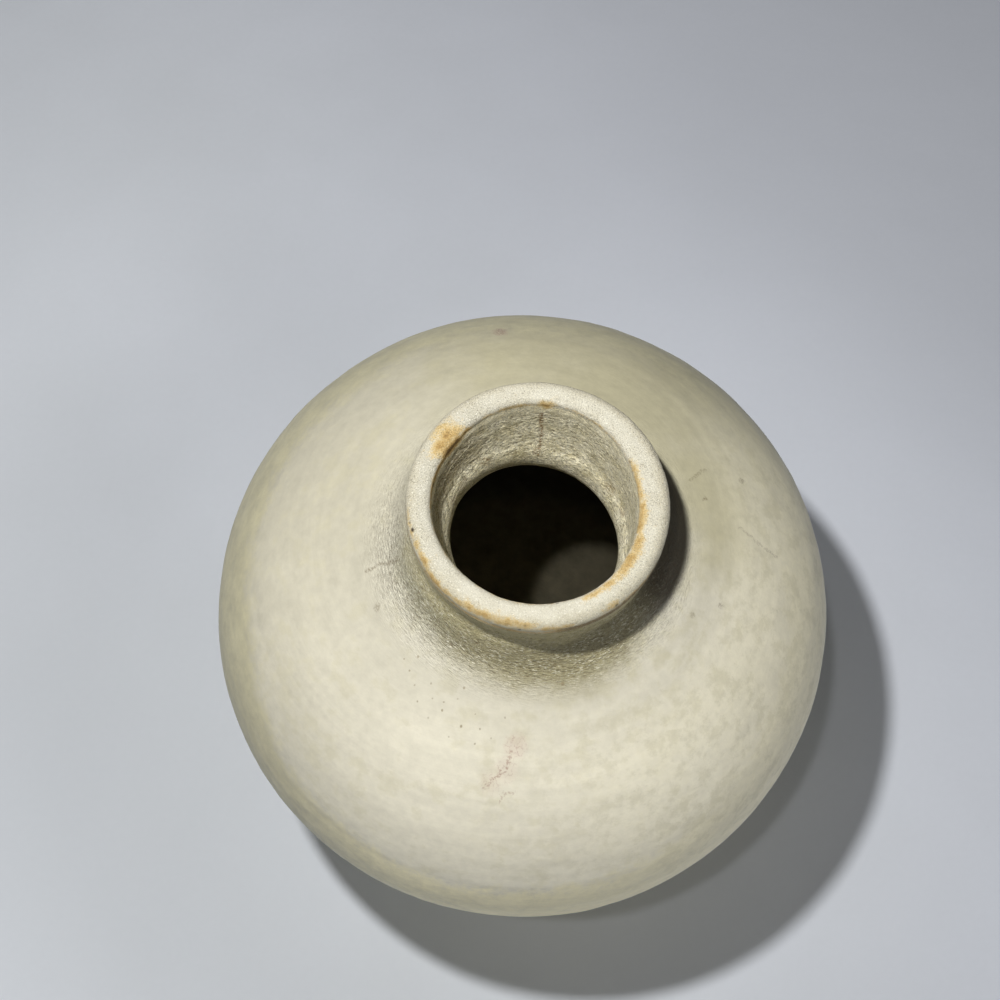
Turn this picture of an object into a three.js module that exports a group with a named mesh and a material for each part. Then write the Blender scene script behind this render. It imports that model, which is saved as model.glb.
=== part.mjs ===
// A small globular pottery vase with a short collar neck and an unglazed mouth.
//
// It is thrown in sections that are luted together while leather hard, each on a flat ring of
// clay: a turned foot ring, a bowl for the lower body, a dome for the shoulder that ends in the
// throat, a collar for the neck and a rounded roll for the lip. One outer line and one inner line
// run through all of them, and every section is the stretch between its two luting planes.
//
// Millimetres, +Z up. The origin is the centre of the foot, on the surface that the vase stands on.

import * as THREE from "three";

// Heights of the sections, stacked from the table up
const footRingHeight = 5;
const lowerBodyHeight = 42.5;
const shoulderHeight = 36;
const neckHeight = 5.5;
const lipHeight = 2.5;

// Radii of the outside
const footRadius = 22;
const undercutRadius = 23.8;
const girthRadius = 41.75;
const neckRadius = 14.6;
const lipOverhang = 0.4;

// Walls and hollows
const footRingWidth = 5;
const floorThickness = 4.5;
const girthWall = 3.6;
const throatRadius = 10.4;
const throatRounding = 3;
const throatDrop = 6.8;
const lipWall = 3.25;

// Edges of the foot ring, the neck's root and the lip
const footChamfer = 0.8;
const footTaper = 0.6;
const neckRootReach = 4.8;
const neckRootHeight = 4;
const lipOuterRounding = 1.6;
const lipInnerRounding = 1;

// How full the curves are: the lengths of their handles, and their slopes in degrees
const undercutReach = 14;
const undercutSlope = 55;
const bellyFullness = 17;
const shoulderFullness = 18;
const shoulderReach = 10.5;
const shoulderSlope = 28;
const floorReach = 28;
const innerBellyFullness = 20;
const innerShoulderFullness = 17;
const ceilingReach = 13;

// Grooves that the fingers press into the wall of the bowl and the dome while the clay turns
const fingerGroovePitch = 6.5;
const fingerGrooveDepth = 0.35;

// Facets
const turnSteps = 48;
const outerSteps = 12;
const innerSteps = 22;
const boreSteps = 3;
const edgeSteps = 5;

// Outline points closer than this are one point
const samePlace = 1e-6;

// Luting planes, and the lines that the sections share
const footPlane = footRingHeight;
const girthPlane = footPlane + lowerBodyHeight;
const neckPlane = girthPlane + shoulderHeight;
const lipPlane = neckPlane + neckHeight;
const throatPlane = neckPlane - throatDrop;
const lipRadius = neckRadius + lipOverhang;
const mouthRadius = lipRadius - lipWall;
const girthInnerRadius = girthRadius - girthWall;

const point = (radius, height) => new THREE.Vector2(radius, height);

// The point a length away from another, along a slope that climbs outwards.
function along(start, length, slopeDegrees) {
  const slope = THREE.MathUtils.degToRad(slopeDegrees);
  return point(start.x + length * Math.cos(slope), start.y + length * Math.sin(slope));
}

// Points on an arc that rounds an edge, anticlockwise about its centre.
function edgeArc(centre, radius, fromDegrees, toDegrees) {
  const from = THREE.MathUtils.degToRad(fromDegrees);
  const to = THREE.MathUtils.degToRad(toDegrees);
  return new THREE.ArcCurve(centre.x, centre.y, radius, from, to, false).getPoints(edgeSteps);
}

// The bore draws in from the mouth to the throat and stands upright at both ends.
function boreRadius(height) {
  const share = (lipPlane - height) / (lipPlane - throatPlane);
  const narrowing = mouthRadius - throatRadius;
  return throatRadius + (narrowing * (1 + Math.cos(Math.PI * share))) / 2;
}

function borePoints(top, bottom) {
  return Array.from({ length: boreSteps + 1 }, (_, step) => {
    const height = THREE.MathUtils.lerp(top, bottom, step / boreSteps);
    return point(boreRadius(height), height);
  });
}

// Finger grooves sink into an inner wall, which is drawn with the clay on its left. They fade
// towards its ends, so that the sections still meet.
function withFingerGrooves(curve) {
  return curve.getPoints(innerSteps).map((place, step) => {
    const share = step / innerSteps;
    const tangent = curve.getTangent(share);
    const fade = Math.sin(Math.PI * share);
    const wave = (1 - Math.cos((2 * Math.PI * place.y) / fingerGroovePitch)) / 2;
    const depth = fingerGrooveDepth * fade * wave;
    return place.add(point(-tangent.y, tangent.x).multiplyScalar(depth));
  });
}

// Foot ring: a turned ring, wider at its top than on the face that it stands on.
function footRingProfile() {
  const faceRadius = footRadius - footTaper;
  const holeRadius = footRadius - footRingWidth;
  return [
    point(holeRadius + footChamfer, 0),
    point(faceRadius - footChamfer, 0),
    point(faceRadius, footChamfer),
    point(footRadius, footPlane),
    point(holeRadius - footTaper, footPlane),
    point(holeRadius, footChamfer),
  ];
}

// Lower body: a bowl whose belly rises from the undercut above the foot ring to the girth.
function lowerBodyProfile() {
  const undercut = point(undercutRadius, footPlane);
  const belly = new THREE.CubicBezierCurve(
    undercut,
    along(undercut, undercutReach, undercutSlope),
    point(girthRadius, girthPlane - bellyFullness),
    point(girthRadius, girthPlane),
  );
  const floorHeight = footPlane + floorThickness;
  const bowl = new THREE.CubicBezierCurve(
    point(girthInnerRadius, girthPlane),
    point(girthInnerRadius, girthPlane - innerBellyFullness),
    point(floorReach, floorHeight),
    point(0, floorHeight),
  );
  return [
    point(0, footPlane),
    ...belly.getPoints(outerSteps),
    ...withFingerGrooves(bowl),
  ];
}

// Shoulder: a dome from the girth to the neck's root outside, and up to the throat inside.
function shoulderProfile() {
  const neckRoot = point(neckRadius + neckRootReach, neckPlane - neckRootHeight);
  const dome = new THREE.CubicBezierCurve(
    point(girthRadius, girthPlane),
    point(girthRadius, girthPlane + shoulderFullness),
    along(neckRoot, shoulderReach, -shoulderSlope),
    neckRoot,
  );
  const rootClimb = neckRootReach / Math.cos(THREE.MathUtils.degToRad(shoulderSlope));
  const root = new THREE.QuadraticBezierCurve(
    neckRoot,
    along(neckRoot, -rootClimb, -shoulderSlope),
    point(neckRadius, neckPlane),
  );
  const throatCentre = point(throatRadius + throatRounding, throatPlane);
  const ceilingEdge = point(throatCentre.x, throatPlane - throatRounding);
  const ceiling = new THREE.CubicBezierCurve(
    ceilingEdge,
    point(ceilingEdge.x + ceilingReach, ceilingEdge.y),
    point(girthInnerRadius, girthPlane + innerShoulderFullness),
    point(girthInnerRadius, girthPlane),
  );
  return [
    ...dome.getPoints(outerSteps),
    ...root.getPoints(edgeSteps),
    ...borePoints(neckPlane, throatPlane),
    ...edgeArc(throatCentre, throatRounding, 180, 270),
    ...withFingerGrooves(ceiling),
  ];
}

// Neck: a short collar that widens a little towards the lip.
function neckProfile() {
  const outside = new THREE.QuadraticBezierCurve(
    point(neckRadius, neckPlane),
    point(neckRadius, (neckPlane + lipPlane) / 2),
    point(lipRadius, lipPlane),
  );
  return [
    ...outside.getPoints(edgeSteps),
    ...borePoints(lipPlane, neckPlane),
  ];
}

// Lip: a roll of bare clay, rounded more on the outside than on the inside.
function lipProfile() {
  const top = lipPlane + lipHeight;
  const outerCentre = point(lipRadius - lipOuterRounding, top - lipOuterRounding);
  const innerCentre = point(mouthRadius + lipInnerRounding, top - lipInnerRounding);
  return [
    point(lipRadius, lipPlane),
    ...edgeArc(outerCentre, lipOuterRounding, 0, 90),
    ...edgeArc(innerCentre, lipInnerRounding, 90, 180),
    point(mouthRadius, lipPlane),
  ];
}

// A section turned about the axis. Its mesh stands at its lower luting plane, and its outline is
// closed on itself, or along the axis where it starts and ends there.
function turned(name, profile, seat, material) {
  const outline = profile
    .filter((place, index) => index === 0 || place.distanceTo(profile[index - 1]) > samePlace)
    .map((place) => point(place.x, place.y - seat));
  if (outline[0].x > 0) outline.push(outline[0].clone());
  const geometry = new THREE.LatheGeometry(outline, turnSteps);
  geometry.rotateX(Math.PI / 2);
  const mesh = new THREE.Mesh(geometry, material);
  mesh.name = name;
  mesh.position.z = seat;
  return mesh;
}

function clay(color, roughness) {
  return new THREE.MeshStandardMaterial({ color, roughness, metalness: 0 });
}

const vase = new THREE.Group();
vase.add(
  turned("foot_ring", footRingProfile(), 0, clay("#c9bd9c", 0.85)),
  turned("lower_body", lowerBodyProfile(), footPlane, clay("#c3bd98", 0.45)),
  turned("shoulder", shoulderProfile(), girthPlane, clay("#cbc6a8", 0.4)),
  turned("neck", neckProfile(), neckPlane, clay("#b3ad8c", 0.4)),
  turned("lip", lipProfile(), lipPlane, clay("#e3ddc8", 0.9)),
);

export default vase;
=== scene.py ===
"""A small pottery vase, seen from above on a plain pale floor.

Every section of the vase is one closed mesh that is turned about the axis, with the unevenness of
thrown and fired clay worked into its surface. Lengths are millimetres up to the moment a mesh is
made, which is in metres.
"""
import math
from functools import partial, reduce

import bpy
import numpy as np
from mathutils import Matrix, Vector


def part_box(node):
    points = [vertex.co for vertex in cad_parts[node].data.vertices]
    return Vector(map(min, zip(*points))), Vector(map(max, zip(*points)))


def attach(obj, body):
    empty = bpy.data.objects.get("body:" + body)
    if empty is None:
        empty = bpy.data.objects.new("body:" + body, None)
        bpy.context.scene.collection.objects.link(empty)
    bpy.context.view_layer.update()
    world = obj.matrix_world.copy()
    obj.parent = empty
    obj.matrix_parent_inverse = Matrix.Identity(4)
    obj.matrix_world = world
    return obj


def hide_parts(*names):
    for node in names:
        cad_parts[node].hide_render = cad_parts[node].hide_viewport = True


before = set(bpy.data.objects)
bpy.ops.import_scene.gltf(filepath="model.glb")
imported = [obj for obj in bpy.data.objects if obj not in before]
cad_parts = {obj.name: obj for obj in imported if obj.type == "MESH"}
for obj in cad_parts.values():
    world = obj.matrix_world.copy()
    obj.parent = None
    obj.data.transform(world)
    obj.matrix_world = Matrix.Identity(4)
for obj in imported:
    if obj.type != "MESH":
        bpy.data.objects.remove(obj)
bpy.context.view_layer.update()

MM = 0.001


def added(name, data):
    """A new object in the scene."""
    thing = bpy.data.objects.new(name, data)
    bpy.context.scene.collection.objects.link(thing)
    return thing


# Planes and radii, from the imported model
def node_low(node):
    return Vector(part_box(node)[0]) / MM


def node_high(node):
    return Vector(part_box(node)[1]) / MM


foot_plane = node_low("lower_body").z
girth_plane = node_low("shoulder").z
neck_plane = node_low("neck").z
lip_plane = node_low("lip").z
top_plane = node_high("lip").z
foot_radius = node_high("foot_ring").x
girth_radius = node_high("shoulder").x
lip_radius = node_high("lip").x

# The rest of the outline
undercut_radius = 23.8
neck_radius = 14.6
foot_ring_width = 5.0
foot_chamfer = 0.8
foot_taper = 0.6
floor_thickness = 4.5
girth_wall = 3.6
throat_radius = 10.4
throat_rounding = 3.0
throat_drop = 6.8
lip_wall = 3.25
lip_outer_rounding = 1.6
lip_inner_rounding = 1.0
neck_root_reach = 4.8
neck_root_height = 4.0
undercut_reach = 14.0
undercut_slope = 55.0
belly_fullness = 17.0
shoulder_fullness = 18.0
shoulder_reach = 10.5
shoulder_slope = 28.0
floor_reach = 28.0
inner_belly_fullness = 20.0
inner_shoulder_fullness = 17.0
ceiling_reach = 13.0
finger_groove_pitch = 6.5
finger_groove_depth = 0.35

# The throat's edge as it is seen: higher, a little off the axis, and higher still on the left
seen_plane = 80.0
seen_radius = 10.05
seen_rounding = 5.5
seen_slope = 32.0
seen_shift = (0.42, -1.0)
seen_tilt = 1.6
bore_top_radius = 11.7
bore_belly_reach = 0.6
throat_arc_end = 200.0
under_throat_reach = 2.0
under_throat_slope = -70.0
ceiling_lead = 1.5

# Edges of the foot ring and of the two flat ends at the axis
foot_edge_fullness = 0.15
axis_gap = 0.5
base_gap = 0.2

throat_plane = neck_plane - throat_drop
mouth_radius = lip_radius - lip_wall
girth_inner_radius = girth_radius - girth_wall
face_radius = foot_radius - foot_taper
hole_radius = foot_radius - foot_ring_width
recess_radius = hole_radius - foot_taper

# Mesh: columns round the axis, and the distance between rows on each stretch
COLUMNS = 720
DOME_ROWS = 0.42
ROOT_ROWS = 0.16
NECK_ROWS = 0.13
LIP_ROWS = 0.12
BORE_ROWS = 0.15
THROAT_ROWS = 0.3
BOWL_ROWS = 1.4
BELLY_ROWS = 0.6
FOOT_ROWS = 0.4
CURVE_SAMPLES = 240


# Outlines
def along(start, length, slope_degrees):
    """The point a length away from another, along a slope that climbs outwards."""
    slope = math.radians(slope_degrees)
    return (start[0] + length * math.cos(slope), start[1] + length * math.sin(slope))


def bezier(*handles):
    """A Bezier curve of any degree, finely sampled."""
    share = np.linspace(0.0, 1.0, CURVE_SAMPLES)[:, None]
    layers = [np.array(handle, float)[None, :] for handle in handles]
    while len(layers) > 1:
        layers = [a * (1 - share) + b * share for a, b in zip(layers, layers[1:])]
    return layers[0]


def arc(centre, radius, from_degrees, to_degrees):
    turn = np.radians(np.linspace(from_degrees, to_degrees, CURVE_SAMPLES))
    return np.column_stack([centre[0] + radius * np.cos(turn), centre[1] + radius * np.sin(turn)])


def evenly(line, spacing):
    """The line again, in even steps of about the spacing, with both ends kept."""
    steps = np.hypot(*np.diff(line, axis=0).T)
    reach = np.concatenate([[0.0], np.cumsum(steps)])
    count = max(2, int(round(reach[-1] / spacing)) + 1)
    places = np.linspace(0.0, reach[-1], count)
    return np.column_stack([np.interp(places, reach, line[:, axis]) for axis in (0, 1)])


def chain(*lines):
    """Lines that follow on from one another, as one."""
    parts = [lines[0]] + [line[1:] for line in lines[1:]]
    return np.vstack(parts)


def outward(line):
    """The direction that points away from the clay, which lies on the left of the line."""
    tangent = np.gradient(line, axis=0)
    tangent /= np.linalg.norm(tangent, axis=1)[:, None]
    return np.column_stack([tangent[:, 1], -tangent[:, 0]])


def with_finger_grooves(line):
    """An inner line with the grooves that fingers press into it, which fade towards its ends."""
    share = np.linspace(0.0, 1.0, len(line))
    wave = (1 - np.cos(2 * np.pi * line[:, 1] / finger_groove_pitch)) / 2
    depth = finger_groove_depth * np.sin(np.pi * share) * wave
    return line - outward(line) * depth[:, None]


neck_root = (neck_radius + neck_root_reach, neck_plane - neck_root_height)
root_climb = neck_root_reach / math.cos(math.radians(shoulder_slope))
undercut = (undercut_radius, foot_plane)
ceiling_edge = (throat_radius + throat_rounding, throat_plane - throat_rounding)
floor_height = foot_plane + floor_thickness

belly_line = bezier(
    undercut,
    along(undercut, undercut_reach, undercut_slope),
    (girth_radius, girth_plane - belly_fullness),
    (girth_radius, girth_plane),
)
dome_line = bezier(
    (girth_radius, girth_plane),
    (girth_radius, girth_plane + shoulder_fullness),
    along(neck_root, shoulder_reach, -shoulder_slope),
    neck_root,
)
root_line = bezier(
    neck_root,
    along(neck_root, -root_climb, -shoulder_slope),
    (neck_radius, neck_plane),
)
collar_line = bezier(
    (neck_radius, neck_plane),
    (neck_radius, (neck_plane + lip_plane) / 2),
    (lip_radius, lip_plane),
)
lip_outer_centre = (lip_radius - lip_outer_rounding, top_plane - lip_outer_rounding)
lip_inner_centre = (mouth_radius + lip_inner_rounding, top_plane - lip_inner_rounding)
lip_line = chain(
    np.array([(lip_radius, lip_plane), (lip_radius, lip_outer_centre[1])]),
    arc(lip_outer_centre, lip_outer_rounding, 0, 90),
    arc(lip_inner_centre, lip_inner_rounding, 90, 180),
    np.array([(mouth_radius, lip_inner_centre[1]), (bore_top_radius, lip_plane)]),
)
bowl_line = with_finger_grooves(bezier(
    (girth_inner_radius, girth_plane),
    (girth_inner_radius, girth_plane - inner_belly_fullness),
    (floor_reach, floor_height),
    (0.0, floor_height),
))
ceiling_line = with_finger_grooves(bezier(
    ceiling_edge,
    (ceiling_edge[0] + ceiling_reach, ceiling_edge[1]),
    (girth_inner_radius, girth_plane + inner_shoulder_fullness),
    (girth_inner_radius, girth_plane),
))
seen_centre = (seen_radius + seen_rounding, seen_plane)
throat_arc = arc(seen_centre, seen_rounding, 180 - seen_slope, throat_arc_end)
bore_belly = along(throat_arc[0], bore_belly_reach, 90 - seen_slope)
bore_line = bezier((bore_top_radius, lip_plane), bore_belly, tuple(throat_arc[0]))
bore_at_plane = (float(np.interp(-neck_plane, -bore_line[:, 1], bore_line[:, 0])), neck_plane)
upper_bore_line = np.vstack([bore_line[bore_line[:, 1] > neck_plane], bore_at_plane])
lower_bore_line = chain(
    np.vstack([bore_at_plane, bore_line[bore_line[:, 1] < neck_plane]]),
    throat_arc,
)
under_throat_line = bezier(
    tuple(throat_arc[-1]),
    along(throat_arc[-1], under_throat_reach, under_throat_slope),
    (ceiling_edge[0] - ceiling_lead, ceiling_edge[1]),
    ceiling_edge,
)


# Repeatable noise
def lattice(x, y, z, seed):
    """One random value from -1 to 1 for every whole-numbered place."""
    mixed = (x * 73856093) ^ (y * 19349663) ^ (z * 83492791) ^ (seed * 2654435761)
    mixed &= 0xFFFFFFFF
    for _ in range(2):
        mixed = (((mixed >> 16) ^ mixed) * 0x45D9F3B) & 0xFFFFFFFF
    mixed = (mixed >> 16) ^ mixed
    return mixed / 2147483647.5 - 1.0


def noise(x, y, z, seed):
    """Smooth noise from -1 to 1 whose features are about one unit wide."""
    corner = [np.floor(axis).astype(np.int64) for axis in (x, y, z)]
    share = [axis - low for axis, low in zip((x, y, z), corner)]
    ease = [s * s * s * (s * (6 * s - 15) + 10) for s in share]
    total = 0.0
    for step in np.ndindex(2, 2, 2):
        weight = 1.0
        for axis in range(3):
            weight = weight * (ease[axis] if step[axis] else 1 - ease[axis])
        places = [corner[axis] + step[axis] for axis in range(3)]
        total = total + weight * lattice(*places, seed)
    return total


def ramp(value, low, high):
    """Rises smoothly from 0 at low to 1 at high."""
    share = np.clip((value - low) / (high - low), 0.0, 1.0)
    return share * share * (3 - 2 * share)


# The clay's unevenness: waves round the axis, how far they reach, and the angle that they point to
SWAY = {
    "body": [(2, 0.12, 40), (3, 0.05, 200)],
    "lip": [(1, 0.16, 40), (2, 0.03, 26), (3, 0.03, 15)],
    "mouth": [(1, 0.1, 217), (2, 0.12, 276), (3, 0.12, 319), (4, 0.04, 8), (5, 0.03, 329)],
}

# Heights over which one part of the surface gives way to the next
LIP_SWAY = (79.5, 86.5)
MOUTH_SWAY = (82.0, 88.5)
HOLLOW_SWAY_END = (60.0, 72.5)
THROAT_SHIFT = (72.5, 77.5)
HOLLOW_END = (76.8, 78.2)
COAT_START = (77.0, 78.5)
BORE_STREAKS = (77.5, 79.5)
NECK_STREAKS = (78.2, 81.2)
NECK_STREAKS_END = (85.0, 88.0)
NECK_WRINKLES = (79.2, 81.5)
NECK_WRINKLES_END = (85.5, 87.5)
BODY_END = (80.0, 83.0)
CRACK_START = (81.0, 82.0)
UNDER_LIP = (82.5, 84.5)
BROWN_START = (82.5, 86.0)
DARK_BORE = (83.5, 87.0)
BORE_WRINKLES = (80.5, 83.0)
BORE_WRINKLES_END = (89.3, 90.2)
OUTER_GRAIN = (88.5, 89.3)
INNER_GRAIN = (89.6, 90.4)
LINE_AHEAD_END = (89.8, 90.7)
COAT_END = (90.0, 90.8)

# The neck's root: how far it runs out, at what height and how high, and towards which angle
FLARE_REACH = 1.0
FLARE_PLANE = 82.8
FLARE_HEIGHT = 1.6
FLARE_ANGLE = -150


def sway(part, angle):
    waves = SWAY[part]
    return sum(size * np.cos(order * (angle - math.radians(turn))) for order, size, turn in waves)


def body_sway(angle):
    """The body's sway, which only ever draws the wall in."""
    return sway("body", angle) - sum(size for _, size, _ in SWAY["body"])


def flare(angle, height):
    """The neck runs out into the shoulder more gently at the front and on the left."""
    gentle = ramp(np.cos(angle - math.radians(FLARE_ANGLE)), -0.2, 0.7)
    return FLARE_REACH * gentle * np.exp(-((height - FLARE_PLANE) / FLARE_HEIGHT) ** 2)


def outer_lean(angle, height):
    """How far the outside as a whole leans out from a true circle."""
    share = ramp(height, *LIP_SWAY)
    return body_sway(angle) * (1 - share) + sway("lip", angle) * share + flare(angle, height)


def down_the_bore(height, start):
    """0 down to the start, 1 from the throat's rounding down to the throat, 0 again below it."""
    share = np.clip((start - height) / (start - throat_arc[0, 1]), 0.0, 1.0)
    return share * ramp(height, *THROAT_SHIFT)


def inner_lean(angle, height):
    """How far the inside leans: with the body below, with the mouth above, aside at the throat."""
    below = body_sway(angle) * (1 - ramp(height, *HOLLOW_SWAY_END))
    above = sway("mouth", angle) * ramp(height, *MOUTH_SWAY)
    aside = seen_shift[0] * np.cos(angle) + seen_shift[1] * np.sin(angle)
    return below + above + aside * down_the_bore(height, top_plane - lip_inner_rounding)


def lift(kind, angle, height):
    """How far the throat is raised, from the right to the left."""
    if kind != "inside":
        return 0.0
    return -seen_tilt * np.cos(angle) * down_the_bore(height, lip_plane)


def outer_share(radius):
    """1 on the outer half of the lip, 0 on its inner half."""
    middle = lip_radius - lip_wall / 2
    return ramp(radius, middle - 0.6, middle + 0.6)


def less_behind(angle):
    """1 round the front and the sides, less at the back, where the glaze lies smoother."""
    return 0.35 + 0.65 * ramp(np.sin(angle), 0.5, -0.4)


def ridged(x, y, z, seed):
    """Noise from -1 to 1 with narrow crests."""
    return 1.0 - 2.0 * np.abs(noise(x, y, z, seed))


def body_relief(x, y, z, radius, angle):
    """Throwing lines that wander a little as they go round, broad dimples, and fine unevenness."""
    east, north = np.cos(angle), np.sin(angle)
    throwing = 0.03 * noise(radius / 1.5 + 0.9 * east, z / 1.5 + 0.9 * north, 0.6 * east + 4, 11)
    broad = 0.07 * noise(radius / 5.0 + 0.5 * north, z / 5.0 + 0.5 * east, 0.5 * north + 9, 12)
    lumps = 0.08 * noise(x / 9, y / 9, z / 9, 13) + 0.045 * noise(x / 3.4, y / 3.4, z / 3.4, 14)
    fine = 0.02 * noise(x / 1.3, y / 1.3, z / 1.3, 15)
    return throwing + broad + lumps + fine


def wrinkle_relief(x, y, z, seed):
    """Wrinkles in thin glaze, longer round the neck than up it."""
    drift = 0.9 * noise(x / 2.2, y / 2.2, z / 2.2, seed)
    long = ridged(x / 1.3, y / 1.3, (z + drift) / 0.55, seed + 1)
    short = ridged(x / 0.62, y / 0.62, (z + drift) / 0.3, seed + 2)
    patch = 0.6 + 0.4 * noise(x / 2.2, y / 2.2, z / 1.4, seed + 3)
    return patch * (0.05 * long + 0.032 * short)


def grain_relief(x, y, z):
    """Sandy clay."""
    lumps = 0.035 * noise(x / 2.2, y / 2.2, z / 2.2, 31)
    grain = 0.02 * noise(x / 0.5, y / 0.5, z / 0.5, 32)
    grain = grain + 0.014 * noise(x / 0.28, y / 0.28, z / 0.28, 33)
    return lumps + grain - 0.07


def outside_relief(x, y, z, radius, angle):
    off_body = ramp(z, *BODY_END)
    on_neck = ramp(z, *NECK_WRINKLES) * (1 - ramp(z, *NECK_WRINKLES_END)) * less_behind(angle)
    relief = (1 - off_body) * body_relief(x, y, z, radius, angle)
    relief = relief + on_neck * wrinkle_relief(x, y, z, 21)
    relief = relief + off_body * 0.03 * noise(x / 2.4, y / 2.4, z / 2.4, 29)
    return relief + ramp(z, *OUTER_GRAIN) * grain_relief(x, y, z)


def inside_relief(x, y, z, radius, angle):
    on_bore = ramp(z, *BORE_WRINKLES) * (1 - ramp(z, *BORE_WRINKLES_END))
    below = 1 - ramp(z, *BODY_END)
    soft = 0.06 * noise(x / 2.8, y / 2.8, z / 2.8, 41) + 0.02 * noise(x / 1.1, y / 1.1, z / 0.9, 42)
    relief = on_bore * wrinkle_relief(x, y, z, 45) + below * soft
    return relief + ramp(z, *INNER_GRAIN) * grain_relief(x, y, z)


def base_relief(x, y, z, radius, angle):
    turning = 0.04 * noise(radius / 1.3 + 0.5 * np.cos(angle), 0.5 * np.sin(angle), z * 0 + 3, 51)
    return (turning - 0.05) * (1 - ramp(radius, recess_radius - 1.6, recess_radius - 0.4))


def foot_relief(x, y, z, radius, angle):
    wear = 0.05 * noise(x / 2.5, y / 2.5, z / 2.5, 52) + 0.02 * noise(x / 0.7, y / 0.7, z / 0.7, 53)
    return (wear - 0.075) * (1 - ramp(z, foot_plane - 0.5, foot_plane))


def lip_relief(x, y, z, radius, angle):
    outer = outer_share(radius)
    inner_relief = inside_relief(x, y, z, radius, angle)
    return outer * outside_relief(x, y, z, radius, angle) + (1 - outer) * inner_relief


def lean(kind, radius, angle, height):
    """How far a surface leans out from a true circle. The lip goes over from outside to inside."""
    outer = {"inside": 0.0, "lip": outer_share(radius)}.get(kind, 1.0)
    return outer * outer_lean(angle, height) + (1 - outer) * inner_lean(angle, height)


# Turned pieces
KINDS = {
    "outside": outside_relief,
    "inside": inside_relief,
    "base": base_relief,
    "foot": foot_relief,
    "lip": lip_relief,
}


class Rings:
    """Rings of places round the axis: where they were turned, and where the relief has put them."""

    def __init__(self, line, kind):
        angle = np.linspace(0.0, 2 * np.pi, COLUMNS, endpoint=False)
        away = outward(line)
        if kind != "base":
            away[[0, -1], 1] = 0.0
        shape = (len(line), COLUMNS)
        self.kind = kind
        self.radius = np.broadcast_to(line[:, :1], shape)
        self.height = np.broadcast_to(line[:, 1:], shape)
        self.angle = np.broadcast_to(angle, shape)
        x, y = self.radius * np.cos(angle), self.radius * np.sin(angle)
        relief = KINDS[kind](x, y, self.height, self.radius, self.angle)
        leaning = lean(kind, self.radius, self.angle, self.height) * ramp(self.radius, 0.0, 6.0)
        moved = self.radius + relief * away[:, :1] + leaning
        self.x, self.y = moved * np.cos(angle), moved * np.sin(angle)
        self.z = self.height + relief * away[:, 1:] + lift(kind, self.angle, self.height)


def fan(pole, first, second):
    """Triangles between a pole and a ring."""
    return np.stack([np.full(COLUMNS, pole), first, second], axis=-1).reshape(-1)


def sharpen(mesh, rows):
    """Makes the rings on these rows sharp edges."""
    edges = np.empty(len(mesh.edges) * 2, np.int32)
    mesh.edges.foreach_get("vertices", edges)
    edge_rows = edges.reshape(-1, 2) // COLUMNS
    sharp = (edge_rows[:, 0] == edge_rows[:, 1]) & np.isin(edge_rows[:, 0], list(rows))
    layer = mesh.attributes.new("sharp_edge", "BOOLEAN", "EDGE")
    layer.data.foreach_set("value", sharp)


def turned(name, stretches, slot, looped=True):
    """A closed mesh from stretches of rings that follow one another round the clay.

    A looped section is open through its middle. Any other starts and ends on the axis.
    """
    rings = [Rings(line, kind) for line, kind in stretches]
    places = np.concatenate([np.stack([r.x, r.y, r.z], axis=-1) for r in rings])
    count = len(places)
    row = np.arange(count if looped else count - 1)[:, None] * COLUMNS
    column = np.arange(COLUMNS)[None, :]
    beyond = (column + 1) % COLUMNS
    row_after = (row + COLUMNS) % (count * COLUMNS)
    quads = np.stack([row + column, row + beyond, row_after + beyond, row_after + column], axis=-1)
    vertices = places.reshape(-1, 3)
    loops = quads.reshape(-1)
    sizes = np.full(quads.size // 4, 4)
    if not looped:
        poles = [[0, 0, places[end, :, 2].mean()] for end in (0, -1)]
        vertices = np.concatenate([vertices, poles])
        first, last = len(vertices) - 2, len(vertices) - 1
        end_row = (count - 1) * COLUMNS
        low_fan = fan(first, beyond[0], column[0])
        high_fan = fan(last, end_row + column[0], end_row + beyond[0])
        loops = np.concatenate([loops, low_fan, high_fan])
        sizes = np.concatenate([sizes, np.full(2 * COLUMNS, 3)])
    mesh = bpy.data.meshes.new(name)
    mesh.vertices.add(len(vertices))
    mesh.vertices.foreach_set("co", (vertices * MM).astype(np.float32).reshape(-1))
    mesh.loops.add(len(loops))
    mesh.loops.foreach_set("vertex_index", loops.astype(np.int32))
    starts = np.concatenate([[0], np.cumsum(sizes)[:-1]])
    mesh.polygons.add(len(sizes))
    mesh.polygons.foreach_set("loop_start", starts.astype(np.int32))
    mesh.polygons.foreach_set("use_smooth", np.ones(len(sizes), bool))
    mesh.update(calc_edges=True)
    ends = np.cumsum([len(r.x) for r in rings])
    sharpen(mesh, set(ends - 1) | set(ends % count))
    piece = added(name + "_skin", mesh)
    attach(piece, "root")
    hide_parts(name)
    mesh.materials.append(MATERIALS[slot])
    for mark, values_of in MARKS.items():
        values = np.concatenate([values_of(r).reshape(-1) for r in rings])
        if not looped:
            values = np.concatenate([values, [values[0], values[-1]]])
        layer = mesh.attributes.new(mark, "FLOAT", "POINT")
        layer.data.foreach_set("value", values.astype(np.float32))


# Marks that are painted on the surface, each a share from 0 to 1 for every place
def turn_of(rings):
    """The angle in degrees, from -180 to 180."""
    return (np.degrees(rings.angle) + 180) % 360 - 180


def turn_from(rings, middle):
    """How many degrees a place is away from an angle, either way round."""
    return np.abs((np.degrees(rings.angle) - middle + 180) % 360 - 180)


def near(rings, middle, start, end):
    """1 about an angle, fading to 0 between two distances from it."""
    return 1 - ramp(turn_from(rings, middle), start, end)


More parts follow.
